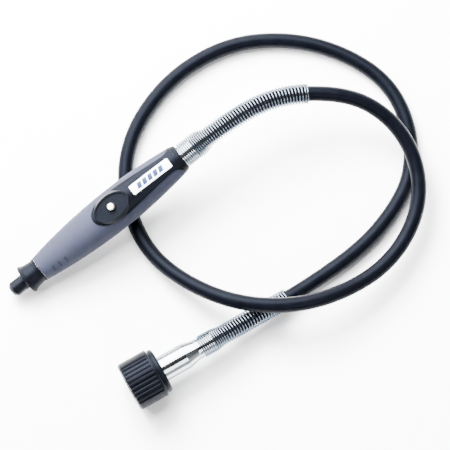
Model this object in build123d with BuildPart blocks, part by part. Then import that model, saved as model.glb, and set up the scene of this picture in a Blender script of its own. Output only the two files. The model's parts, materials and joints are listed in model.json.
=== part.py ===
"""Handpiece of a rotary tool on the end of a flexible drive shaft, lying coiled on a flat surface.

Frame: +X along the handpiece towards its shaft, +Z up, origin under the middle of the handpiece.
"""

from build123d import *
import os
from math import cos, radians, sin, tan

# ---------------------------------------------------------------- driving dimensions (mm)

# Handpiece: distances run along its axis from the tip of the collet nut.
HANDPIECE_TILT = 10.0         # degrees, the tail leans on the shaft that passes below
HANDPIECE_LENGTH = 130.0
TIP_X = -64.34
TIP_Z = 7.07
NUT_LENGTH = 10.2
NUT_RADIUS = 4.8
NUT_FLATS = 8.9               # across the six shallow spanner flats
CAP_START = 10.7
CAP_END = 22.0
LIP_RADIUS = 9.2
GRIP_START = 22.3
GRIP_END = 127.0
GRIP_OUTLINE = [
    (GRIP_START, 7.95), (30, 9.2), (40, 10.45), (52, 11.6), (65, 12.35),
    (80, 12.65), (95, 12.3), (110, 11.2), (120, 10.1), (GRIP_END, 9.1),
]
GRIP_WALL = 1.6
INSERT_PROUD = 0.3            # how far the hard insert stands out of the grip
FRONT_SEAT = 33.0             # front face of the front bearing
REAR_SEAT = 92.0              # front face of the rear bearing
BEARING_WIDTH = 5.0
BEARING_BORE = 4.0            # radii of the bearing, from the shaft out
INNER_RACE = 4.35
OUTER_RACE = 6.15
BEARING_RADIUS = 6.5
BALL_RADIUS = 0.87
BALLS = 8
SPINDLE_RADIUS = 4.5
COLLET_BORE = 1.6
LOCK_AT = 79.2                # the lock pin stands here, square to the axis
LOCK_HOLE = 1.6
PIN_RADIUS = 1.5
PIN_HEAD = 2.15
PIN_TRAVEL = 2.6
PAD_AT = 79.3                 # middle of the oval pad round the pin
PAD_LENGTH = 10.9             # half the pad's length and width
PAD_WIDTH = 6.5
PAD_RIM = 13.0                # height of the pad's flat rim above the axis
PAD_DEPTH = 0.8
LABEL_START = 94.4
LABEL_LENGTH = 28.3
LABEL_WIDTH = 6.3
FERRULE_STUB = 139.0          # end of the steel stub inside the upper spring

# Shaft: radii of the layers, and the wire of the two strain-relief springs.
CASING_RADIUS = 4.6
LINER_RADIUS = 3.4
LINER_BORE = 2.9
CORE_RADIUS = 2.4
SPRING_WIRE = 1.25
SPRING_RADIUS = 6.1
UPPER_SPRING_HEAD = 7.8
CASING_START = 122.0          # on the handpiece's axis
FIRST_BEND = 158.0            # on the handpiece's axis

# Drive end: distances run back from the front face of the coupling nut.
COUPLING_RADIUS = 15.1
COUPLING_LENGTH = 22.2
RIBBED_LENGTH = 18.7
THREAD_RADIUS = 9.4
THREAD_START = 0.8
THREAD_LENGTH = 10.0
SHOULDER_AT = 17.4
GROOVES_PER_GROUP = 10        # two groups of grooves, with a plain land on each side
GROOVE_PITCH = 10.8           # degrees
GROOVE_RADIUS = 0.95
GROOVE_LENGTH = 17.3
RIB_GROUP = 276               # degrees round the nut, to the middle of the upper group
FERRULE_RADIUS = 7.65
FLANGE_RADIUS = 9.0
RUNNING_FIT = 0.08
CASING_END = 40.0
LOWER_SPRING_START = 48.2
LOWER_SPRING_HEAD = 7.0
LOWER_SPRING_SHORT = 12.0     # how far before the next bend of its route it ends

# The shaft's route after the handpiece: up and over to the right, down across its own far strand,
# over the lower spring, under the handpiece, and once round on the floor to the lower spring.
FLOOR = CASING_RADIUS
ROUTE_BENDS = [
    (131, -4.5, 34), (165.8, -28.2, 29), (179.2, -53.4, 22.5), (178.3, -81.7, 16.5), (163.6, -106, 14),
    (138, -121, 13), (108, -125, 15), (70.7, -116.5, 22.4), (41.4, -95.2, 22.4), (23.2, -66.2, 14.4),
    (14.3, -31.8, 5.9), (22.0, 1.7, FLOOR), (40, 27, FLOOR), (65.8, 42.4, FLOOR), (99, 49.4, FLOOR),
    (135.1, 43.9, FLOOR), (165.2, 24.2, FLOOR), (185.3, -1.9, FLOOR), (196, -33, FLOOR), (189.9, -63.1, FLOOR),
    (172.2, -87.7, FLOOR), (148.9, -99.6, FLOOR), (118.4, -106.2, FLOOR), (76.3, -104.6, FLOOR),
    (54.7, -102.2, 7.8), (35.3, -100.3, 12.2), (17.61, -98.37, COUPLING_RADIUS),
]
DRIVE_HEADING = 172.53        # degrees, plan direction in which the drive end points
LAST_BEND_BACK = 62.0         # from the coupling nut's front face to the last bend
LAST_BEND_RADIUS = 46.5       # kept clear of the ferrule's stub

# ---------------------------------------------------------------- places

tilt = radians(HANDPIECE_TILT)
axis_dir = Vector(cos(tilt), 0, sin(tilt))
button_dir = Vector(-sin(tilt), 0, cos(tilt))
tip = Vector(TIP_X, 0, TIP_Z)
SPIN = Axis(tip, axis_dir)
HAND_PROFILE = Plane(origin=tip, x_dir=axis_dir, z_dir=(0, -1, 0))
HAND_PLAN = Plane(origin=tip, x_dir=axis_dir, z_dir=button_dir)

heading = radians(DRIVE_HEADING)
drive_dir = Vector(cos(heading), sin(heading), 0)
last_bend = Vector(*ROUTE_BENDS[-1])
coupling_face = last_bend + drive_dir * LAST_BEND_BACK
DRIVE = Axis(coupling_face, -drive_dir)
drive_side = Vector(0, 0, 1).cross(drive_dir).normalized()
DRIVE_PROFILE = Plane(origin=coupling_face, x_dir=-drive_dir, z_dir=drive_side)


def hand_point(distance):
    """A point on the handpiece's axis."""
    return tip + axis_dir * distance


def hand_section(distance):
    """The plane square to the handpiece's axis, its x towards the button."""
    return Plane(origin=hand_point(distance), x_dir=button_dir, z_dir=axis_dir)


def drive_point(distance):
    """A point on the drive end's axis, back from the coupling nut's front face."""
    return coupling_face - drive_dir * distance


def drive_section(distance):
    """The plane square to the drive end's axis, facing back along it."""
    return Plane(origin=drive_point(distance), x_dir=drive_side, z_dir=-drive_dir)


def profile(points, plane=HAND_PROFILE):
    """A closed straight-sided outline of (distance along the axis, radius) points."""
    with BuildSketch(plane) as outline:
        with BuildLine():
            Polyline(*points, close=True)
        make_face()
    return outline.sketch


def ring(start, end, inner, outer, plane=HAND_PROFILE):
    """The outline of a plain ring round an axis."""
    return profile([(start, inner), (end, inner), (end, outer), (start, outer)], plane)


def grip_profile(allowance, inner=0.0):
    """The grip's curved outline, moved out by an allowance, closed on a straight bore."""
    outer = [(distance, radius + allowance) for distance, radius in GRIP_OUTLINE]
    with BuildSketch(HAND_PROFILE) as outline:
        with BuildLine():
            Spline(*outer)
            Polyline(outer[-1], (outer[-1][0], inner), (outer[0][0], inner), outer[0])
        make_face()
    return outline.sketch


def insert_outline():
    """The hard insert seen square on: an oval pad, a narrowing tail and a flare at the collar."""
    with BuildSketch(HAND_PLAN) as outline:
        with BuildLine():
            front = EllipticalCenterArc((PAD_AT, 0), PAD_LENGTH + 3.0, 9.0, start_angle=90, arc_size=180)
            Spline(front @ 0, (93, 8.4), (108, 6.9), (120, 5.9), tangents=((1, 0), (1, -0.05)))
            Spline((120, 5.9), (124, 6.6), (GRIP_END + 0.01, 9.6), tangents=((1, -0.05), (0.6, 1)))
            Line((GRIP_END + 0.01, 9.6), (GRIP_END + 0.01, -9.6))
            Spline((GRIP_END + 0.01, -9.6), (124, -6.6), (120, -5.9), tangents=((-0.6, 1), (-1, -0.05)))
            Spline((120, -5.9), (108, -6.9), (93, -8.4), front @ 1, tangents=((-1, -0.05), (-1, 0)))
        make_face()
    return outline.sketch


def skin_patch(outline, low, high):
    """The grip's skin between two allowances, inside an outline seen square on."""
    with BuildPart() as patch:
        revolve(grip_profile(high), axis=SPIN)
        revolve(grip_profile(low), axis=SPIN, mode=Mode.SUBTRACT)
        extrude(outline, amount=18, mode=Mode.INTERSECT)
    return patch.part


def route_radii(points):
    """The largest bend at each inner point that leaves a tenth of the shorter run straight."""
    radii = []
    for before, here, after in zip(points, points[1:], points[2:]):
        run_in = here - before
        run_out = after - here
        half_turn = radians(run_in.get_angle(run_out)) / 2
        radii.append(0.45 * min(run_in.length, run_out.length) / tan(half_turn))
    return radii


def hose(points, radii, outer, inner):
    """A round tube, or a solid rod where inner is 0, along straight runs and tangent arcs."""
    with BuildLine() as path:
        FilletPolyline(*points, radius=radii)
    with BuildSketch(Plane(origin=points[0], z_dir=points[1] - points[0])) as section:
        Circle(outer)
        if inner > 0:
            Circle(inner, mode=Mode.SUBTRACT)
    with BuildPart() as swept:
        sweep(section.sketch, path=path.line)
    length = path.wires()[0].length
    print("length", round(length, 1), "volume by section", round(swept.part.volume / section.sketch.area, 1))
    return swept.part


def save(piece, name):
    """Label a finished piece and write it to its own file."""
    piece.part.label = name
    export_step(piece.part, f"parts/{name}.step")


os.makedirs("parts", exist_ok=True)

# ---------------------------------------------------------------- collet and its nut

with BuildPart() as collet_nut:
    revolve(profile([
        (0, 2.7), (0, NUT_RADIUS - 1.7), (1.8, NUT_RADIUS), (NUT_LENGTH - 0.3, NUT_RADIUS),
        (NUT_LENGTH, NUT_RADIUS - 0.3), (NUT_LENGTH, 3.75), (3.4, 3.75), (3.2, 3.45), (1.2, 2.7),
    ]), axis=SPIN)
    with BuildSketch(hand_section(0)):
        Circle(NUT_RADIUS + 1)
        RegularPolygon(NUT_FLATS / 2, 6, major_radius=False, mode=Mode.SUBTRACT)
    extrude(amount=NUT_LENGTH - 2.2, mode=Mode.SUBTRACT)
save(collet_nut, "collet_nut")

with BuildPart() as collet:
    revolve(profile([
        (0.3, COLLET_BORE), (0.3, 2.45), (1.3, 2.6), (3.3, 3.3), (4.1, 3.3), (6.6, 2.9), (13.8, 2.9),
        (13.8, COLLET_BORE),
    ]), axis=SPIN)
    with BuildSketch(hand_section(0.3)):
        Rectangle(8, 0.45)
        Rectangle(0.45, 8)
    extrude(amount=10.5, mode=Mode.SUBTRACT)
save(collet, "collet")

# ---------------------------------------------------------------- spindle and bearings

with BuildPart() as spindle:
    revolve(profile([
        (4.4, 3.45), (4.4, 3.65), (11.6, 3.65), (12.0, 4.9), (14.5, 4.9), (14.7, 4.2), (FRONT_SEAT - 1.2, 4.2),
        (FRONT_SEAT - 1.2, SPINDLE_RADIUS), (FRONT_SEAT, SPINDLE_RADIUS), (FRONT_SEAT, BEARING_BORE),
        (FRONT_SEAT + BEARING_WIDTH, BEARING_BORE), (FRONT_SEAT + BEARING_WIDTH, SPINDLE_RADIUS),
        (REAR_SEAT, SPINDLE_RADIUS), (REAR_SEAT, BEARING_BORE), (REAR_SEAT + 7.5, BEARING_BORE),
        (REAR_SEAT + 7.5, 3.9), (107.5, 3.9), (107.5, 0), (14.4, 0), (14.4, 2.98), (6.6, 2.98),
    ]), axis=SPIN)
    with BuildSketch(hand_section(108)):
        Rectangle(3.5, 3.5)
    extrude(amount=-9, mode=Mode.SUBTRACT)
    for quarter in range(4):
        outward = button_dir.rotate(SPIN, 90 * quarter)
        with BuildSketch(Plane(origin=hand_point(LOCK_AT) + outward * 2.2, z_dir=outward)):
            Circle(LOCK_HOLE + 0.1)
        extrude(amount=4, mode=Mode.SUBTRACT)
    circlip_groove = REAR_SEAT + BEARING_WIDTH + 0.05
    revolve(ring(circlip_groove, circlip_groove + 0.9, 3.6, 5), axis=SPIN, mode=Mode.SUBTRACT)
save(spindle, "spindle")

for place, seat in (("front", FRONT_SEAT), ("rear", REAR_SEAT)):
    middle = hand_section(seat + BEARING_WIDTH / 2)
    pitch = (INNER_RACE + OUTER_RACE) / 2
    with BuildPart() as inner_race:
        revolve(ring(seat, seat + BEARING_WIDTH, BEARING_BORE, INNER_RACE), axis=SPIN)
    save(inner_race, f"{place}_inner_race")
    with BuildPart() as outer_race:
        revolve(ring(seat, seat + BEARING_WIDTH, OUTER_RACE, BEARING_RADIUS), axis=SPIN)
    save(outer_race, f"{place}_outer_race")
    with BuildPart() as balls:
        with Locations(middle):
            with PolarLocations(pitch, BALLS):
                Sphere(BALL_RADIUS)
    save(balls, f"{place}_balls")
    with BuildPart() as cage:
        revolve(ring(seat + 0.9, seat + BEARING_WIDTH - 0.9, pitch - 0.25, pitch + 0.25), axis=SPIN)
        with Locations(middle):
            with PolarLocations(pitch, BALLS):
                Cylinder(BALL_RADIUS + 0.05, 3, rotation=(0, 90, 0), mode=Mode.SUBTRACT)
    save(cage, f"{place}_cage")

with BuildPart() as bearing_circlip:
    revolve(ring(circlip_groove + 0.05, circlip_groove + 0.85, 3.65, 5.0), axis=SPIN)
    with BuildSketch(hand_section(circlip_groove)):
        with Locations((0, -4.5)):
            Rectangle(3, 4)
    extrude(amount=1, mode=Mode.SUBTRACT)
save(bearing_circlip, "bearing_circlip")

with BuildPart() as wave_washer:
    revolve(ring(FRONT_SEAT - 0.55, FRONT_SEAT - 0.05, 5.3, BEARING_RADIUS - 0.1), axis=SPIN)
save(wave_washer, "wave_washer")

# ---------------------------------------------------------------- handpiece body

with BuildPart() as nose_cap:
    with BuildSketch(HAND_PROFILE):
        with BuildLine():
            lip = ThreePointArc((CAP_START, 8.5), (11.5, LIP_RADIUS), (12.6, 8.7))
            neck = Spline(lip @ 1, (15.0, 7.9), (18.0, 7.45), (20.2, 7.35), tangents=((1, -0.7), (1, 0)))
            Polyline(neck @ 1, (20.4, 7.85), (CAP_END, 7.9), (CAP_END, 5.6), (FRONT_SEAT - 2, 5.6), (FRONT_SEAT - 2, 4.9), (15.2, 4.9))
            Polyline((15.2, 4.9), (15.2, 5.3), (CAP_START + 0.6, 5.3), (CAP_START, 6.2), lip @ 0)
        make_face()
    revolve(axis=SPIN)
save(nose_cap, "nose_cap")

with BuildPart() as body_shell:
    revolve(grip_profile(-GRIP_WALL), axis=SPIN)
    revolve(profile([
        (GRIP_START - 1, 0), (GRIP_START - 1, 5.65), (FRONT_SEAT - 1.9, 5.65), (FRONT_SEAT - 1.9, 6.1),
        (FRONT_SEAT - 0.6, 6.1), (FRONT_SEAT - 0.6, BEARING_RADIUS), (FRONT_SEAT + 7, BEARING_RADIUS), (49, 8.6),
        (86, 8.6), (REAR_SEAT - 1, 6.1), (REAR_SEAT, 6.1), (REAR_SEAT, BEARING_RADIUS),
        (118, BEARING_RADIUS), (118, 7.4), (GRIP_END + 1, 7.4), (GRIP_END + 1, 0),
    ]), axis=SPIN, mode=Mode.SUBTRACT)
    with BuildSketch(Plane(origin=hand_point(LOCK_AT), z_dir=button_dir)):
        Circle(3.4)
    extrude(amount=16, mode=Mode.SUBTRACT)
save(body_shell, "body_shell")

with BuildPart() as soft_grip:
    revolve(grip_profile(0), axis=SPIN)
    revolve(grip_profile(-GRIP_WALL), axis=SPIN, mode=Mode.SUBTRACT)
    extrude(insert_outline(), amount=16, mode=Mode.SUBTRACT)
    for corner in (45, 135, 225, 315):
        for distance, radius in ((29.5, 9.13), (34.0, 9.74), (38.6, 10.3)):
            groove = ring(distance - 0.4, distance + 0.4, radius - 0.45, radius + 1)
            arc = 26
            turned = groove.rotate(SPIN, corner - arc / 2)
            revolve(turned, axis=SPIN, revolution_arc=arc, mode=Mode.SUBTRACT)
save(soft_grip, "soft_grip")

label_middle = LABEL_START + LABEL_LENGTH / 2
with BuildSketch(HAND_PLAN) as pad:
    with Locations((PAD_AT, 0)):
        Ellipse(PAD_LENGTH, PAD_WIDTH)
with BuildSketch(HAND_PLAN) as label_outline:
    with Locations((label_middle, 0)):
        RectangleRounded(LABEL_LENGTH, LABEL_WIDTH, 0.8)

with BuildPart() as pad_boss:
    for height, flare in ((9.0, 2.3), (PAD_RIM, 0)):
        with BuildSketch(HAND_PLAN.offset(height)):
            with Locations((PAD_AT, 0)):
                Ellipse(PAD_LENGTH + 0.9 + flare, PAD_WIDTH + 0.8 + flare)
    loft()
    extrude(insert_outline(), amount=18, mode=Mode.INTERSECT)
    revolve(grip_profile(-GRIP_WALL), axis=SPIN, mode=Mode.SUBTRACT)

with BuildPart() as top_insert:
    add(skin_patch(insert_outline(), -GRIP_WALL, INSERT_PROUD))
    add(pad_boss.part)
    with BuildSketch(HAND_PLAN.offset(PAD_RIM - PAD_DEPTH)):
        with Locations((PAD_AT, 0)):
            Ellipse(PAD_LENGTH, PAD_WIDTH)
    extrude(amount=3, mode=Mode.SUBTRACT)
    add(skin_patch(label_outline.sketch, INSERT_PROUD - 0.8, INSERT_PROUD + 1), mode=Mode.SUBTRACT)
    with BuildSketch(HAND_PLAN.offset(8.0)):
        with Locations((LOCK_AT, 0)):
            Circle(3.4)
    extrude(amount=8, mode=Mode.SUBTRACT)
save(top_insert, "top_insert")

with BuildPart() as label_plate:
    add(skin_patch(offset(label_outline.sketch, -0.05), INSERT_PROUD - 0.8, INSERT_PROUD - 0.1))
save(label_plate, "label_plate")

with BuildPart() as rear_collar:
    revolve(profile([
        (GRIP_END, 7.4), (121.2, 7.4), (121.2, 6.45), (HANDPIECE_LENGTH, 6.45), (HANDPIECE_LENGTH, 7.7),
        (HANDPIECE_LENGTH - 0.7, 8.35), (GRIP_END, 9.1),
    ]), axis=SPIN)
save(rear_collar, "rear_collar")

# ---------------------------------------------------------------- spindle lock

lock_plane = Plane(origin=hand_point(LOCK_AT), z_dir=button_dir)
with BuildPart() as lock_bushing:
    with BuildSketch(lock_plane.offset(8.8)):
        Circle(3.35)
        Circle(PIN_RADIUS + RUNNING_FIT, mode=Mode.SUBTRACT)
    extrude(amount=0.7)
    with BuildSketch(lock_plane.offset(9.5)):
        Circle(3.35)
        Circle(PIN_HEAD + RUNNING_FIT, mode=Mode.SUBTRACT)
    extrude(amount=2.8)
    for height, radius in ((12.0, PIN_HEAD + RUNNING_FIT), (12.3, 3.1)):
        with BuildSketch(lock_plane.offset(height)):
            Circle(radius)
    loft(mode=Mode.SUBTRACT)
save(lock_bushing, "lock_bushing")

with BuildPart() as lock_pin:
    with BuildSketch(lock_plane.offset(5.3)):
        Circle(PIN_RADIUS)
    extrude(amount=7.1)
    with BuildSketch(lock_plane.offset(12.4)):
        Circle(PIN_HEAD)
    extrude(amount=2.8)
    chamfer(lock_pin.edges().sort_by(Axis(tip, button_dir))[-1], length=0.5)
    chamfer(lock_pin.edges().sort_by(Axis(tip, button_dir))[0], length=0.3)
    with BuildSketch(lock_plane.offset(8.0)):
        Circle(PIN_RADIUS + 1)
        Circle(PIN_RADIUS - 0.35, mode=Mode.SUBTRACT)
    extrude(amount=0.6, mode=Mode.SUBTRACT)
save(lock_pin, "lock_pin")

with BuildPart() as lock_clip:
    with BuildSketch(lock_plane.offset(8.05)):
        Circle(2.6)
        Circle(PIN_RADIUS - 0.35, mode=Mode.SUBTRACT)
        with Locations((0, -2.2)):
            Rectangle(1.8, 3, mode=Mode.SUBTRACT)
    extrude(amount=0.5)
save(lock_clip, "lock_clip")

with BuildPart() as lock_spring:
    with BuildSketch(lock_plane.offset(9.5)):
        Circle(PIN_HEAD - 0.05)
        Circle(PIN_RADIUS + 0.1, mode=Mode.SUBTRACT)
    extrude(amount=2.9)
save(lock_spring, "lock_spring")

# ---------------------------------------------------------------- shaft

route = [hand_point(CASING_START), hand_point(FIRST_BEND)]
route += [Vector(*bend) for bend in ROUTE_BENDS]
route += [drive_point(CASING_END)]
bends = route_radii(route)
bends[-1] = LAST_BEND_RADIUS
print("bend radii", [round(radius) for radius in bends])

with BuildPart() as casing_ferrule:
    revolve(profile([
        (109, 3.2), (109, 6.2), (118.1, 6.2), (118.1, 7.3), (121.1, 7.3), (121.1, 6.3),
        (FERRULE_STUB - 0.5, 6.3), (FERRULE_STUB, 5.8), (FERRULE_STUB, CASING_RADIUS),
        (CASING_START, CASING_RADIUS), (CASING_START, 3.2),
    ]), axis=SPIN)
save(casing_ferrule, "casing_ferrule")

with BuildPart() as casing:
    add(hose(route, bends, CASING_RADIUS, LINER_RADIUS))
save(casing, "casing")

with BuildPart() as casing_liner:
    add(hose(route, bends, LINER_RADIUS, LINER_BORE))
save(casing_liner, "casing_liner")

core_route = [hand_point(114.4)] + route[1:-1] + [drive_point(31.5)]
with BuildPart() as flex_core:
    add(hose(core_route, bends, CORE_RADIUS, 0))
save(flex_core, "flex_core")

with BuildPart() as core_tip:
    revolve(profile([(108.2, 0), (108.2, 2.4), (114.0, 2.4), (114.0, 0)]), axis=SPIN)
    with BuildSketch(hand_section(108.2)):
        Rectangle(3.3, 3.3)
    extrude(amount=-7.5)
save(core_tip, "core_tip")

spring_bore = SPRING_RADIUS - SPRING_WIRE
upper_spring_route = [hand_point(FERRULE_STUB + 2), route[1], route[2], (route[2] + route[3]) / 2]
with BuildPart() as upper_spring:
    add(hose(upper_spring_route, bends[:2], SPRING_RADIUS, spring_bore))
    revolve(profile([
        (HANDPIECE_LENGTH + 0.1, UPPER_SPRING_HEAD - SPRING_WIRE), (HANDPIECE_LENGTH + 0.1, UPPER_SPRING_HEAD),
        (142, UPPER_SPRING_HEAD), (148, SPRING_RADIUS), (148, spring_bore), (142, spring_bore),
        (FERRULE_STUB + 1, UPPER_SPRING_HEAD - SPRING_WIRE),
    ]), axis=SPIN)
save(upper_spring, "upper_spring")

lower_spring_route = [drive_point(57.4)] + route[-2:-5:-1]
lower_spring_route.append(route[-5] + (route[-4] - route[-5]).normalized() * LOWER_SPRING_SHORT)
with BuildPart() as lower_spring:
    add(hose(lower_spring_route, bends[-1:-4:-1], SPRING_RADIUS, spring_bore))
    revolve(profile([
        (LOWER_SPRING_START, 5.75), (LOWER_SPRING_START, LOWER_SPRING_HEAD), (56.0, LOWER_SPRING_HEAD),
        (57.5, SPRING_RADIUS), (57.5, spring_bore), (57.45, 5.75),
    ], DRIVE_PROFILE), axis=DRIVE)
save(lower_spring, "lower_spring")

# ---------------------------------------------------------------- drive end

with BuildPart() as drive_ferrule:
    revolve(profile([
        (14.0, 4.5), (14.0, FLANGE_RADIUS), (16.5, FLANGE_RADIUS), (16.5, FERRULE_RADIUS),
        (38.4, FERRULE_RADIUS), (46.0, 5.95), (46.3, 6.2), (47.6, 6.2), (47.9, 5.6), (57.0, 5.6),
        (57.2, 5.4), (57.2, CASING_RADIUS), (CASING_END, CASING_RADIUS), (CASING_END, 3.2), (30, 3.2),
        (30, 4.5),
    ], DRIVE_PROFILE), axis=DRIVE)
save(drive_ferrule, "drive_ferrule")

with BuildPart() as drive_bushing:
    revolve(ring(14.2, 27.0, 3.0 + RUNNING_FIT, 4.5, DRIVE_PROFILE), axis=DRIVE)
save(drive_bushing, "drive_bushing")

with BuildPart() as drive_tip:
    revolve(profile([
        (13.4, 0), (13.4, 2.8), (14.0, 3.0), (28.0, 3.0), (28.0, 2.4), (28.9, 2.4), (28.9, 3.0),
        (31.0, 3.0), (31.0, 0),
    ], DRIVE_PROFILE), axis=DRIVE)
    with BuildSketch(drive_section(11.2)):
        Rectangle(3.6, 3.6)
    extrude(amount=3.0)
save(drive_tip, "drive_tip")

with BuildPart() as drive_circlip:
    revolve(ring(28.1, 28.8, 2.45, 3.9, DRIVE_PROFILE), axis=DRIVE)
    with BuildSketch(drive_section(28.0)):
        with Locations((0, -3)):
            Rectangle(2, 3)
    extrude(amount=1, mode=Mode.SUBTRACT)
save(drive_circlip, "drive_circlip")

with BuildPart() as thrust_washer:
    revolve(ring(16.55, 17.35, FERRULE_RADIUS + RUNNING_FIT, FLANGE_RADIUS, DRIVE_PROFILE), axis=DRIVE)
save(thrust_washer, "thrust_washer")

with BuildPart() as coupling_nut:
    revolve(profile([
        (0, THREAD_RADIUS + 0.8), (0, COUPLING_RADIUS - 1.0), (1.0, COUPLING_RADIUS),
        (RIBBED_LENGTH - 0.5, COUPLING_RADIUS), (RIBBED_LENGTH, COUPLING_RADIUS - 0.5),
        (RIBBED_LENGTH, 13.3), (RIBBED_LENGTH + 0.6, 13.3), (RIBBED_LENGTH + 0.8, 14.0),
        (COUPLING_LENGTH - 1.2, 14.0), (COUPLING_LENGTH - 0.4, 13.6), (COUPLING_LENGTH, 12.8),
        (COUPLING_LENGTH, FERRULE_RADIUS + RUNNING_FIT), (SHOULDER_AT, FERRULE_RADIUS + RUNNING_FIT),
        (SHOULDER_AT, THREAD_RADIUS + 0.5), (THREAD_START + THREAD_LENGTH, THREAD_RADIUS + 0.5),
        (THREAD_START + THREAD_LENGTH, THREAD_RADIUS), (THREAD_START, THREAD_RADIUS),
    ], DRIVE_PROFILE), axis=DRIVE)
    with BuildSketch(drive_section(-0.1)):
        for group in (RIB_GROUP, RIB_GROUP + 180):
            for groove in range(GROOVES_PER_GROUP):
                angle = group + (groove - (GROOVES_PER_GROUP - 1) / 2) * GROOVE_PITCH
                with Locations(Rot(0, 0, angle) * Pos(COUPLING_RADIUS + 0.2, 0)):
                    RegularPolygon(GROOVE_RADIUS, 8, rotation=22.5)
    extrude(amount=GROOVE_LENGTH, mode=Mode.SUBTRACT)
save(coupling_nut, "coupling_nut")
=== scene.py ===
"""Looks of a rotary tool's slim handpiece on its flexible drive shaft.

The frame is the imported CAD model: +X along the handpiece towards the shaft, +Z up, metres.
Sizes below are in millimetres, as in the CAD source, and are turned into metres by MM.
"""

import json
from math import cos, radians, sin, tau

import bpy
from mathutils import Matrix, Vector


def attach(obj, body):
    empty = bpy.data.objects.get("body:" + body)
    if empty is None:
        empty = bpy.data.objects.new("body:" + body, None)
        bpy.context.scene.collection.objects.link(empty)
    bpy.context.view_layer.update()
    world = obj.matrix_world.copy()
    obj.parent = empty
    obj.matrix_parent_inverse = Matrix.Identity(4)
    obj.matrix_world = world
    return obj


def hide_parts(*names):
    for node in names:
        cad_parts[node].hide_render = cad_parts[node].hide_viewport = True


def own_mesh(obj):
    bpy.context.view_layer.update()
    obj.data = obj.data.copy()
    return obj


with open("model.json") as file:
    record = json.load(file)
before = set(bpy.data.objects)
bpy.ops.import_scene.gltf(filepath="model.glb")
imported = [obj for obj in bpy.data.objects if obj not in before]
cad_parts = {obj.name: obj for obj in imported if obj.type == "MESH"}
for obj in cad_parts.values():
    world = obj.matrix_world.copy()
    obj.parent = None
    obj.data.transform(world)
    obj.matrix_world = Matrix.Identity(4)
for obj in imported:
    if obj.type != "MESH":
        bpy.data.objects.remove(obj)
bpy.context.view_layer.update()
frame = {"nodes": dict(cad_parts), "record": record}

MM = 0.001

# ---------------------------------------------------------------- sizes shared with the CAD source (mm)

HANDPIECE_TILT = 10.0
HANDPIECE_LENGTH = 130.0
TIP = Vector((-64.34, 0, 7.07))         # the collet nut's front end
CASING_RADIUS = 4.6
LINER_RADIUS = 3.4
CORE_RADIUS = 2.4
CASING_START = 122.0
CORE_START = 114.4
FIRST_BEND = 158.0
SPRING_WIRE = 1.0
SPRING_RADIUS = 6.1
SPRING_TAPER = 6.0
TIGHT_PITCH = 1.31            # the coils of a spring's head
OPEN_PITCH = 1.68             # just past the head; it widens towards the free end
FREE_PITCH = 1.96
CLOSED_END = 1.4              # the last coil lies against the one before
UPPER_SPRING_HEAD = 7.8       # radius over the head's coils
UPPER_HEAD_LENGTH = 13.0
UPPER_SPRING_LENGTH = 86.5
COLLAR_GAP = 0.1              # between the rear collar and the upper spring
DRIVE_HEADING = 172.53
LAST_BEND_BACK = 62.0         # from the coupling nut's face back to the route's last bend
CASING_END = 40.0             # distances back from the coupling nut's face
CORE_END = 31.5
COUPLING_RADIUS = 15.1
THREAD_RADIUS = 9.4
THREAD_START = 0.8
THREAD_LENGTH = 10.0
THREAD_PITCH = 2.1
RIDGE_RADIUS = THREAD_RADIUS + 0.25     # the thread's ridge, as a wire half sunk in the bore's wall
RIDGE_WIRE = 0.5
RIDGE_START = THREAD_START + 1.0
RIDGE_LENGTH = THREAD_LENGTH - 1.6
LOWER_SPRING_START = 48.2
LOWER_SPRING_HEAD = 7.0
LOWER_HEAD_LENGTH = 9.0
LOWER_SPRING_SHORT = 12.0     # it ends this far before the route's fourth bend from the nut
LOCK_AT = 79.2                # the lock pin's place along the handpiece
LOCK_SPRING_FOOT = 9.5        # heights above the handpiece's axis
LOCK_SPRING_TOP = 12.4
LOCK_SPRING_RADIUS = 1.85
LOCK_SPRING_WIRE = 0.22
LOCK_SPRING_TURNS = 4
SEAM_AT = 22.15               # the thin ring between the nose cap and the grip
SEAM_RADIUS = 7.97
SEAM_WIRE = 0.05
LABEL_START = 94.4
BAR_SLANT = 0.3               # the label's printed bars lean by this much of their height
BARS_FROM = 4.6               # from the label's end nearest the pin
BARS_TO = 23.8
BAR_PITCH = 3.9
BAR_SHARE = 0.74              # the inked part of a pitch
BAR_HALF = 1.85               # half a bar's height
FLOOR = CASING_RADIUS
ROUTE_BENDS = [
    (131, -4.5, 34), (165.8, -28.2, 29), (179.2, -53.4, 22.5), (178.3, -81.7, 16.5), (163.6, -106, 14),
    (138, -121, 13), (108, -125, 15), (70.7, -116.5, 22.4), (41.4, -95.2, 22.4), (23.2, -66.2, 14.4),
    (14.3, -31.8, 5.9), (22.0, 1.7, FLOOR), (40, 27, FLOOR), (65.8, 42.4, FLOOR), (99, 49.4, FLOOR),
    (135.1, 43.9, FLOOR), (165.2, 24.2, FLOOR), (185.3, -1.9, FLOOR), (196, -33, FLOOR), (189.9, -63.1, FLOOR),
    (172.2, -87.7, FLOOR), (148.9, -99.6, FLOOR), (118.4, -106.2, FLOOR), (76.3, -104.6, FLOOR),
    (54.7, -102.2, 7.8), (35.3, -100.3, 12.2), (17.61, -98.37, COUPLING_RADIUS),
]

tilt = radians(HANDPIECE_TILT)
axis_dir = Vector((cos(tilt), 0, sin(tilt)))
button_dir = Vector((-sin(tilt), 0, cos(tilt)))
heading = radians(DRIVE_HEADING)
drive_dir = Vector((cos(heading), sin(heading), 0))
coupling_face = Vector(ROUTE_BENDS[-1]) + drive_dir * LAST_BEND_BACK


def hand_point(distance):
    """A point on the handpiece's axis, in metres, from its distance from the tip."""
    return (TIP + axis_dir * distance) * MM


def drive_point(distance):
    """A point on the drive end's axis, in metres, back from the coupling nut's front face."""
    return (coupling_face - drive_dir * distance) * MM


# ---------------------------------------------------------------- camera, floor and light

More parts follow.
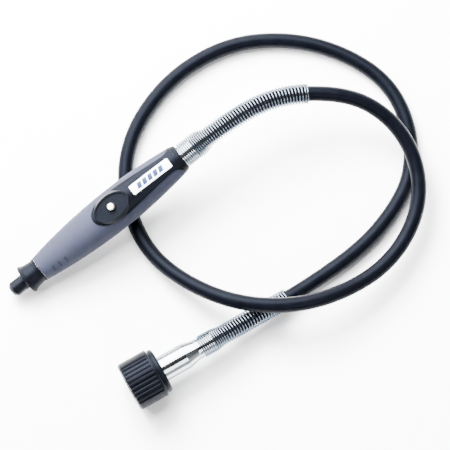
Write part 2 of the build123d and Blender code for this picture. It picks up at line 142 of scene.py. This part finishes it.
LOOK_AT = Vector((0.0627, -0.0439, 0))
CAMERA_AZIMUTH = radians(-37.3)
CAMERA_ELEVATION = radians(78)
CAMERA_DISTANCE = 1.3
CAMERA_LENS = 171.4
KEY_SIDE = 121                # the side the main light comes from, as compass() counts it
LIGHT_DISTANCE = 1.1
DARK_SIDE = -60               # where the surround is darkest
DARK_ELEVATION = 76
FLOOR_REACH = 6.0
PALE_FLOOR = (0.94, 0.94, 0.95)
# the surround's brightness by angle, in degrees, from its darkest place
SURROUND_STEPS = [(9, 0.012), (14, 0.2), (34, 0.22), (52, 0.95), (90, 1.0)]
SURROUND_TINT = Vector((0.97, 0.985, 1))
SURROUND_STRENGTH = 1.05


def make_camera():
    """A long lens looking steeply down, as the object is seen in use on a bench."""
    back = Vector((sin(CAMERA_AZIMUTH) * cos(CAMERA_ELEVATION),
                   -cos(CAMERA_AZIMUTH) * cos(CAMERA_ELEVATION), sin(CAMERA_ELEVATION)))
    data = bpy.data.cameras.new("camera")
    data.lens = CAMERA_LENS
    data.sensor_width = 36
    data.clip_end = 20
    camera = bpy.data.objects.new("camera", data)
    camera.location = LOOK_AT + back * CAMERA_DISTANCE
    camera.rotation_mode = "QUATERNION"
    camera.rotation_quaternion = (-back).to_track_quat("-Z", "Y")
    bpy.context.scene.collection.objects.link(camera)
    bpy.context.scene.camera = camera


def compass(turn, elevation):
    """A unit direction from a turn, in degrees (0 to the right of the rest view, 90 away), and an elevation."""
    flat, rise = radians(turn) + CAMERA_AZIMUTH, radians(elevation)
    return Vector((cos(flat) * cos(rise), sin(flat) * cos(rise), sin(rise)))


def area_light(name, turn, elevation, size, power):
    """A square soft light aimed at the object."""
    data = bpy.data.lights.new(name, "AREA")
    data.size = size
    data.energy = power
    light = bpy.data.objects.new(name, data)
    light.location = LOOK_AT + compass(turn, elevation) * LIGHT_DISTANCE
    light.rotation_mode = "QUATERNION"
    light.rotation_quaternion = (LOOK_AT - light.location).to_track_quat("-Z", "Y")
    bpy.context.scene.collection.objects.link(light)


def make_surround():
    """A pale room whose ceiling is dark over the object, which gives bright metal its dark streaks."""
    world = bpy.data.worlds.new("surround")
    world.use_nodes = True
    nodes, links = world.node_tree.nodes, world.node_tree.links
    background = nodes["Background"]
    place = nodes.new("ShaderNodeTexCoord")
    toward = nodes.new("ShaderNodeVectorMath")
    toward.operation = "DOT_PRODUCT"
    toward.inputs[1].default_value = compass(DARK_SIDE, DARK_ELEVATION)
    links.new(place.outputs["Generated"], toward.inputs[0])
    apart = nodes.new("ShaderNodeMapRange")
    apart.inputs["From Min"].default_value = 1
    apart.inputs["From Max"].default_value = -1
    links.new(toward.outputs["Value"], apart.inputs["Value"])
    ramp = nodes.new("ShaderNodeValToRGB")
    for _ in SURROUND_STEPS[2:]:
        ramp.color_ramp.elements.new(0.5)
    for element, (angle, level) in zip(ramp.color_ramp.elements, SURROUND_STEPS):
        element.position = (1 - cos(radians(angle))) / 2
        element.color = (*SURROUND_TINT * level, 1)
    links.new(apart.outputs["Result"], ramp.inputs["Fac"])
    links.new(ramp.outputs["Color"], background.inputs["Color"])
    background.inputs["Strength"].default_value = SURROUND_STRENGTH
    bpy.context.scene.world = world


def make_studio():
    """A plain pale floor, the surround, two key lights from one side and a weak panel from the other."""
    mesh = bpy.data.meshes.new("floor")
    signs = ((-1, -1), (1, -1), (1, 1), (-1, 1))
    mesh.from_pydata([(FLOOR_REACH * x, FLOOR_REACH * y, 0) for x, y in signs], [], [(0, 1, 2, 3)])
    floor = bpy.data.objects.new("floor", mesh)
    bpy.context.scene.collection.objects.link(floor)
    paint = bpy.data.materials.new("floor")
    paint.use_nodes = True
    shader = paint.node_tree.nodes["Principled BSDF"]
    shader.inputs["Base Color"].default_value = (*PALE_FLOOR, 1)
    shader.inputs["Roughness"].default_value = 0.9
    shader.inputs["Specular IOR Level"].default_value = 0.1
    mesh.materials.append(paint)
    make_surround()
    area_light("broad key", KEY_SIDE, 46, size=1.5, power=185)
    area_light("far panel", KEY_SIDE - 180, 44, size=0.5, power=8)
    area_light("small key", KEY_SIDE, 46, size=0.5, power=125)


# ---------------------------------------------------------------- materials

def noise_between(nodes, links, noise, low, high):
    """A number that follows a noise between two values."""
    ranged = nodes.new("ShaderNodeMapRange")
    ranged.inputs["From Min"].default_value = 0.3
    ranged.inputs["From Max"].default_value = 0.7
    ranged.inputs["To Min"].default_value = low
    ranged.inputs["To Max"].default_value = high
    links.new(noise.outputs["Fac"], ranged.inputs["Value"])
    return ranged.outputs["Result"]


def surface(name, colour, roughness, metallic=0.0, tint=0.0, grain=0.0, grain_scale=2500, roughness_spread=0.0,
            ior=1.5, gloss_tint=(1, 1, 1), edge=0.0):
    """A procedural material: base colour and roughness that vary slowly, fine grain, and edges eased by mm."""
    made = bpy.data.materials.new(name)
    made.use_nodes = True
    nodes, links = made.node_tree.nodes, made.node_tree.links
    shader = nodes["Principled BSDF"]
    shader.inputs["Metallic"].default_value = metallic
    shader.inputs["Roughness"].default_value = roughness
    shader.inputs["IOR"].default_value = ior
    shader.inputs["Specular Tint"].default_value = (*gloss_tint, 1)
    place = nodes.new("ShaderNodeTexCoord")

    slow = nodes.new("ShaderNodeTexNoise")
    slow.inputs["Scale"].default_value = 150
    slow.inputs["Detail"].default_value = 3
    links.new(place.outputs["Object"], slow.inputs["Vector"])
    shade = nodes.new("ShaderNodeMix")
    shade.data_type = "RGBA"
    shade.blend_type = "MULTIPLY"
    shade.inputs["Factor"].default_value = 1
    shade.inputs["A"].default_value = (*colour, 1)
    links.new(noise_between(nodes, links, slow, 1 - tint, 1 + tint), shade.inputs["B"])
    links.new(shade.outputs["Result"], shader.inputs["Base Color"])

    if roughness_spread:
        rough = noise_between(nodes, links, slow, roughness - roughness_spread, roughness + roughness_spread)
        links.new(rough, shader.inputs["Roughness"])
    eased = nodes.new("ShaderNodeBevel") if edge else None
    if eased:
        eased.samples = 6
        eased.inputs["Radius"].default_value = edge * MM
        links.new(eased.outputs["Normal"], shader.inputs["Normal"])
    if grain:
        fine = nodes.new("ShaderNodeTexNoise")
        fine.inputs["Scale"].default_value = grain_scale
        fine.inputs["Detail"].default_value = 2
        links.new(place.outputs["Object"], fine.inputs["Vector"])
        bump = nodes.new("ShaderNodeBump")
        bump.inputs["Strength"].default_value = grain
        bump.inputs["Distance"].default_value = 0.0001
        links.new(fine.outputs["Fac"], bump.inputs["Height"])
        if eased:
            links.new(eased.outputs["Normal"], bump.inputs["Normal"])
        links.new(bump.outputs["Normal"], shader.inputs["Normal"])
    return made


def math_node(nodes, links, operation, first, second=None):
    """One step of arithmetic on sockets or numbers."""
    step = nodes.new("ShaderNodeMath")
    step.operation = operation
    for slot, value in enumerate((first, second)):
        if value is None:
            continue
        if isinstance(value, (int, float)):
            step.inputs[slot].default_value = value
        else:
            links.new(value, step.inputs[slot])
    return step.outputs["Value"]


def print_label(made):
    """A few slanted blue bars printed along the middle of the white label, in place of any lettering."""
    nodes, links = made.node_tree.nodes, made.node_tree.links
    shader = nodes["Principled BSDF"]
    place = nodes.new("ShaderNodeTexCoord")
    along = nodes.new("ShaderNodeVectorMath")
    along.operation = "DOT_PRODUCT"
    along.inputs[1].default_value = axis_dir / MM
    links.new(place.outputs["Object"], along.inputs[0])
    apart = nodes.new("ShaderNodeSeparateXYZ")
    links.new(place.outputs["Object"], apart.inputs["Vector"])

    def step(operation, first, second=None):
        return math_node(nodes, links, operation, first, second)

    across = step("MULTIPLY", apart.outputs["Y"], 1 / MM)
    run = step("SUBTRACT", along.outputs["Value"], axis_dir.dot(TIP) + LABEL_START)
    slanted = step("SUBTRACT", run, step("MULTIPLY", across, BAR_SLANT))
    phase = step("FRACT", step("DIVIDE", step("SUBTRACT", slanted, BARS_FROM), BAR_PITCH))
    marks = step("LESS_THAN", phase, BAR_SHARE)
    for edge in (step("GREATER_THAN", slanted, BARS_FROM), step("LESS_THAN", slanted, BARS_TO),
                 step("LESS_THAN", step("ABSOLUTE", across), BAR_HALF)):
        marks = step("MULTIPLY", marks, edge)
    inked = nodes.new("ShaderNodeMix")
    inked.data_type = "RGBA"
    inked.inputs["B"].default_value = (*INK_BLUE, 1)
    links.new(shader.inputs["Base Color"].links[0].from_socket, inked.inputs["A"])
    links.new(marks, inked.inputs["Factor"])
    links.new(inked.outputs["Result"], shader.inputs["Base Color"])


INK_BLUE = (0.0002, 0.0075, 0.052)
COOL = (0.66, 0.76, 1.0)             # tint of the gloss on black pieces
PAINTED_EDGE_SHADE = (0.12, 0.24, 0.33)       # painted shade in reflections: bright metal seen edge on is tinted dark blue-grey, in place of the shaded floor it reflects there
MATERIALS = {
    "black_plastic": surface("black_plastic", (0.0013, 0.0015, 0.0024), 0.36, tint=0.15, grain=0.25,
                             roughness_spread=0.05, ior=1.13, gloss_tint=COOL, edge=0.22),
    "grey_grip": surface("grey_grip", (0.0218, 0.024, 0.0385), 0.58, tint=0.04, grain=0.5, grain_scale=3500,
                         roughness_spread=0.05, ior=1.12, edge=0.3),
    "label_white": surface("label_white", (0.76, 0.79, 0.84), 0.35, tint=0.02, ior=1.3),
    "hose_rubber": surface("hose_rubber", (0.0011, 0.0013, 0.0023), 0.34, tint=0.2, grain=0.3,
                           roughness_spread=0.04, ior=1.11, gloss_tint=COOL),
    # both bright metals below carry the painted shade in their reflections at the edges
    "spring_steel": surface("spring_steel", (0.135, 0.16, 0.192), 0.15, metallic=1, tint=0.05,
                            roughness_spread=0.04, gloss_tint=PAINTED_EDGE_SHADE),
    "plated_steel": surface("plated_steel", (0.38, 0.41, 0.44), 0.13, metallic=1, tint=0.04,
                            roughness_spread=0.04, gloss_tint=PAINTED_EDGE_SHADE),
    "satin_pin": surface("satin_pin", (0.62, 0.62, 0.6), 0.42, metallic=1, tint=0.04, edge=0.25),
    "black_oxide": surface("black_oxide", (0.0012, 0.0014, 0.002), 0.28, tint=0.2, grain=0.1,
                           ior=1.16, gloss_tint=COOL, edge=0.2),
    "steel": surface("steel", (0.55, 0.56, 0.58), 0.25, metallic=1, tint=0.06, roughness_spread=0.06),
    "bronze": surface("bronze", (0.5, 0.33, 0.16), 0.35, metallic=1, tint=0.1, grain=0.3),
    "nylon": surface("nylon", (0.75, 0.74, 0.68), 0.45, tint=0.03),
}
print_label(MATERIALS["label_white"])


def finish_piece(piece, slot):
    """Give a new piece the material of a record slot."""
    piece.data.materials.clear()
    piece.data.materials.append(MATERIALS[slot])


def dress_cad_nodes():
    """Every CAD node gets its slot's material, with flat faces kept crisp and curved ones smooth."""
    slots = {part["node"]: part["material_slot"] for part in frame["record"]["subparts"]}
    for name, node in frame["nodes"].items():
        node.data.materials.clear()
        node.data.materials.append(MATERIALS["satin_pin" if name == "lock_pin" else slots[name]])
        node.data.shade_smooth()
        node.data.set_sharp_from_angle(angle=radians(28))


# ---------------------------------------------------------------- geometry helpers

def link(name, mesh, body):
    """A new piece from a mesh, riding on a body."""
    piece = bpy.data.objects.new(name, mesh)
    bpy.context.scene.collection.objects.link(piece)
    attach(piece, body)
    return piece


def route_curve(name, radius, start, end):
    """A smooth tube along the shaft's route, between two end points in metres."""
    points = [start, hand_point(FIRST_BEND)]
    points += [Vector(bend) * MM for bend in ROUTE_BENDS]
    points += [end]
    curve = bpy.data.curves.new(name, "CURVE")
    curve.dimensions = "3D"
    spline = curve.splines.new("NURBS")
    spline.points.add(len(points) - 1)
    for control, point in zip(spline.points, points):
        control.co = (*point, 1)
        control.radius = radius * MM
    spline.order_u = 3
    spline.use_endpoint_u = True
    spline.resolution_u = 14
    curve.bevel_depth = 1
    curve.bevel_resolution = 7
    curve.use_fill_caps = True
    piece = bpy.data.objects.new(name, curve)
    bpy.context.scene.collection.objects.link(piece)
    return piece


def route_points():
    """The points of the route's own spline, read from the curve with no bevel."""
    piece = route_curve("route", 0, hand_point(CASING_START), drive_point(CASING_END))
    piece.data.bevel_depth = 0
    piece.data.splines[0].resolution_u = 40
    mesh = bpy.data.meshes.new_from_object(piece)
    points = [vertex.co.copy() for vertex in mesh.vertices]
    bpy.data.objects.remove(piece)
    return points


def lengths_along(points):
    """Running length at each point."""
    lengths = [0.0]
    for before, here in zip(points, points[1:]):
        lengths.append(lengths[-1] + (here - before).length)
    return lengths


def moving_frames(points):
    """A side direction at each point that doesn't twist round the line."""
    tangents = []
    for index in range(len(points)):
        before = points[max(index - 1, 0)]
        after = points[min(index + 1, len(points) - 1)]
        tangents.append((after - before).normalized())
    side = tangents[0].orthogonal().normalized()
    sides = [side]
    for before, here in zip(tangents, tangents[1:]):
        side = before.rotation_difference(here) @ side
        side = (side - here * side.dot(here)).normalized()
        sides.append(side)
    return tangents, sides


def wire_tube(name, points, radius, sides=10):
    """A round wire through points, closed at both ends."""
    tangents, across = moving_frames(points)
    vertices, faces = [], []
    for point, tangent, side in zip(points, tangents, across):
        up = tangent.cross(side)
        for step in range(sides):
            turn = tau * step / sides
            vertices.append(point + (side * cos(turn) + up * sin(turn)) * radius)
    for ring in range(len(points) - 1):
        for step in range(sides):
            here = ring * sides + step
            beside = ring * sides + (step + 1) % sides
            faces.append((here, beside, beside + sides, here + sides))
    last = (len(points) - 1) * sides
    faces.append(tuple(reversed(range(sides))))
    faces.append(tuple(range(last, last + sides)))
    mesh = bpy.data.meshes.new(name)
    mesh.from_pydata(vertices, [], faces)
    mesh.shade_smooth()
    return mesh


def coil_points(line, start, end, radius_at, pitch_at, per_turn=28):
    """The points of a coil round a line, in metres; radius and pitch depend on the length along it."""
    lengths = lengths_along(line)
    tangents, sides = moving_frames(line)
    points = []
    along, turn, index = start, 0.0, 0
    while along < end:
        while lengths[index + 1] < along:
            index += 1
        blend = (along - lengths[index]) / (lengths[index + 1] - lengths[index])
        centre = line[index].lerp(line[index + 1], blend)
        tangent = tangents[index].lerp(tangents[index + 1], blend).normalized()
        side = sides[index].lerp(sides[index + 1], blend)
        side = (side - tangent * side.dot(tangent)).normalized()
        up = tangent.cross(side)
        points.append(centre + (side * cos(turn) + up * sin(turn)) * radius_at(along))
        turn += tau / per_turn
        along += pitch_at(along) / per_turn
    return points


def ease(value, low, high):
    """0 below low, 1 above high, smooth between."""
    part = min(max((value - low) / (high - low), 0), 1)
    return part * part * (3 - 2 * part)


# ---------------------------------------------------------------- the shaft

def spring_coil(name, line, start, end, head_length, head_radius, body, node):
    """A strain-relief spring: tight large coils, a taper, open coils and a closed free end."""
    half_wire = SPRING_WIRE / 2

    def radius_at(along):
        taper = ease(along / MM, start + head_length, start + head_length + SPRING_TAPER)
        return (head_radius + (SPRING_RADIUS - head_radius) * taper - half_wire) * MM

    def pitch_at(along):
        opened = ease(along / MM, start + head_length + 3, start + head_length + 9)
        closing = ease(along / MM, end - CLOSED_END - 2, end - CLOSED_END)
        wide = OPEN_PITCH + (FREE_PITCH - OPEN_PITCH) * ease(along / MM, start + head_length + 9, end - 25)
        return (TIGHT_PITCH + (wide - TIGHT_PITCH) * (opened - closing * opened)) * MM

    points = coil_points(line, (start + half_wire) * MM, (end - half_wire) * MM, radius_at, pitch_at)
    piece = link(name, wire_tube(name, points, half_wire * MM), body)
    finish_piece(piece, "spring_steel")
    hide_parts(node)
    return piece


def make_shaft():
    """The rubber casing with its liner and core, and the two springs on it."""
    casing = route_curve("rubber_casing", CASING_RADIUS, hand_point(CASING_START), drive_point(CASING_END))
    liner = route_curve("steel_liner", LINER_RADIUS, hand_point(CASING_START), drive_point(CASING_END))
    core = route_curve("wound_core", CORE_RADIUS, hand_point(CORE_START), drive_point(CORE_END))
    for piece, slot, node in ((casing, "hose_rubber", "casing"), (liner, "steel", "casing_liner"),
                              (core, "steel", "flex_core")):
        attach(piece, "handpiece")
        finish_piece(piece, slot)
        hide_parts(node)

    line = route_points()
    upper_start = HANDPIECE_LENGTH - CASING_START + COLLAR_GAP
    upper = spring_coil("upper_spring_coil", line, upper_start, upper_start + UPPER_SPRING_LENGTH,
                        UPPER_HEAD_LENGTH, UPPER_SPRING_HEAD, "handpiece", "upper_spring")
    line.reverse()
    before, after = (Vector(bend) * MM for bend in ROUTE_BENDS[-4:-2])
    spring_end = before + (after - before).normalized() * LOWER_SPRING_SHORT * MM
    nearest = min(range(len(line)), key=lambda index: (line[index] - spring_end).length)
    lower = spring_coil("lower_spring_coil", line, LOWER_SPRING_START - CASING_END,
                        lengths_along(line)[nearest] / MM, LOWER_HEAD_LENGTH, LOWER_SPRING_HEAD, "handpiece",
                        "lower_spring")


def straight_coil(name, start, direction, length, radius, wire, turns, body, slot_name, per_turn=28):
    """A coil round a straight axis, or a ring if it has no length; sizes in millimetres, start in metres."""
    side = direction.orthogonal().normalized()
    up = direction.cross(side)
    steps = int(turns * per_turn)
    line = []
    for step in range(steps + 1):
        turn = tau * turns * step / steps
        line.append(start + direction * length * MM * step / steps
                    + (side * cos(turn) + up * sin(turn)) * radius * MM)
    piece = link(name, wire_tube(name, line, wire * MM, sides=8), body)
    finish_piece(piece, slot_name)
    return piece


def make_details():
    """Small parts the solids leave plain: the nut's thread, the lock spring's coil and the nose's seam."""
    straight_coil("coupling_thread", drive_point(RIDGE_START), -drive_dir, RIDGE_LENGTH, RIDGE_RADIUS, RIDGE_WIRE,
                  RIDGE_LENGTH / THREAD_PITCH, "coupling_nut", "black_plastic")
    straight_coil("nose_seam", hand_point(SEAM_AT), axis_dir, 0, SEAM_RADIUS, SEAM_WIRE, 1, "handpiece", "steel",
                  per_turn=96)
    height = LOCK_SPRING_TOP - LOCK_SPRING_FOOT
    foot = hand_point(LOCK_AT) + button_dir * LOCK_SPRING_FOOT * MM
    coil = straight_coil("lock_spring_coil", foot + button_dir * LOCK_SPRING_WIRE * MM, button_dir,
                         height - 2 * LOCK_SPRING_WIRE, LOCK_SPRING_RADIUS, LOCK_SPRING_WIRE, LOCK_SPRING_TURNS,
                         "handpiece", "spring_steel")
    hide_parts("lock_spring")
    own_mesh(coil)


make_camera()
make_studio()
dress_cad_nodes()
make_shaft()
make_details()
